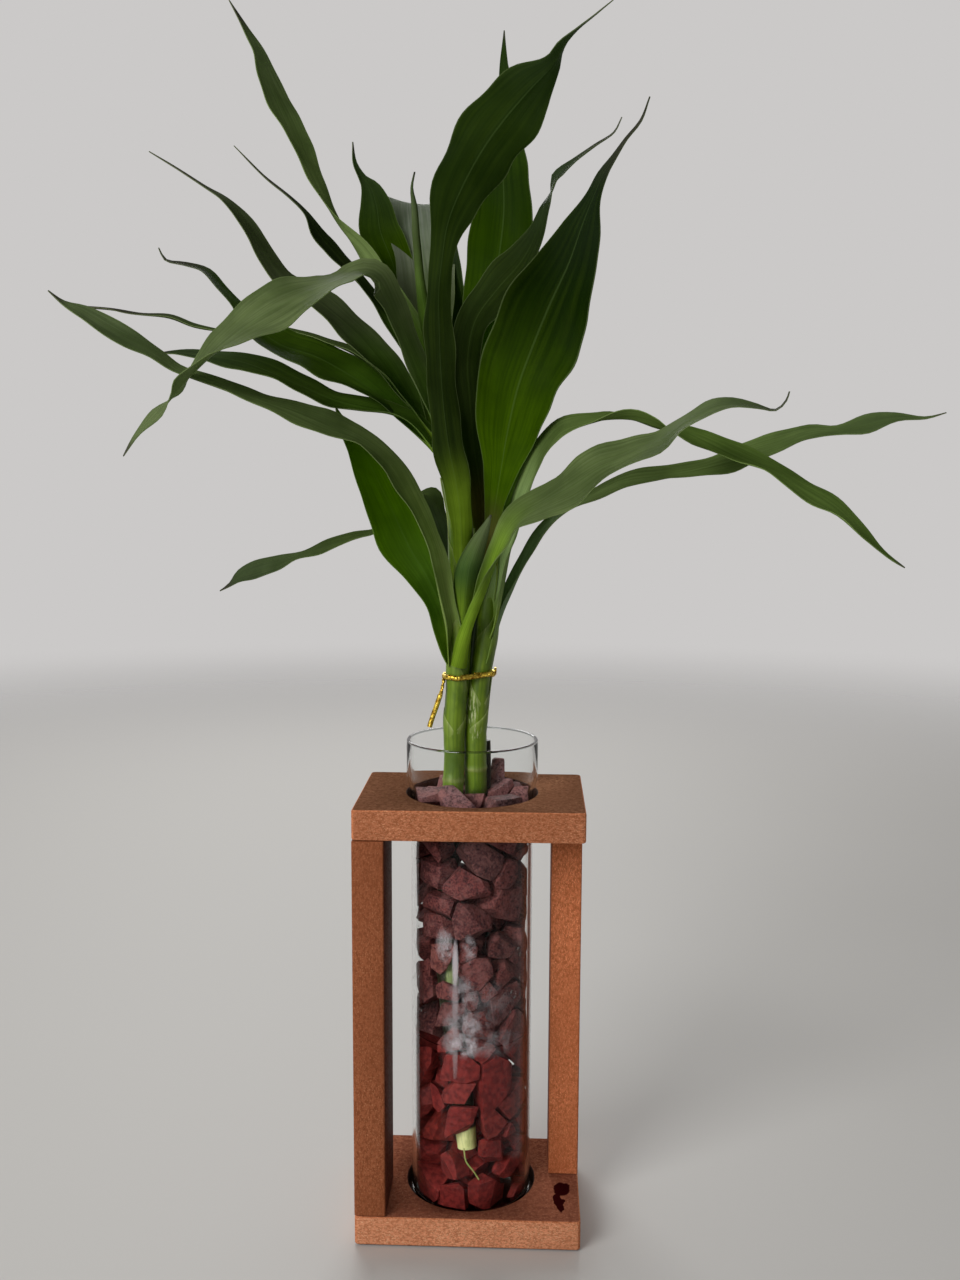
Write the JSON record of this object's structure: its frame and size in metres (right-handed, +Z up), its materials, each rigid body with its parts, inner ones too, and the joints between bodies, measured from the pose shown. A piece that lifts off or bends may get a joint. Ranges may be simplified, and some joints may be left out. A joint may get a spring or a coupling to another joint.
{
  "type": "lucky bamboo plant",
  "caption": "Lucky bamboo stalks with arching leaves, tied together, standing in a gravel-filled glass tube that a small wooden stand holds upright.",
  "frame": {"origin": "middle of the base board's underside, on the surface that the stand rests on", "axes": "+Z up, +X to the right and -Y towards the viewer of the stand's front, where the front left post is"},
  "size_m": [0.3532, 0.2031, 0.5002],
  "materials": {
    "stand_wood": "matt, fine speckled grain",
    "clear_glass": "clear, gloss",
    "water": "clear liquid",
    "gravel_stone": "rough and dry above, wet below the water line",
    "cane": "smooth green cane with node rings",
    "leaf": "satin, veined",
    "gold_foil": "metallic foil"
  },
  "bodies": {
    "root": {"base_board": "stand_wood", "top_board": "stand_wood", "post_front_left": "stand_wood", "post_back_right": "stand_wood", "glass_tube": "clear_glass", "water": "water", "gravel": "gravel_stone", "cane_left": "cane", "cane_right": "cane", "leaves_left": "leaf", "leaves_right": "leaf", "tie": "gold_foil"}
  },
  "joints": []
}
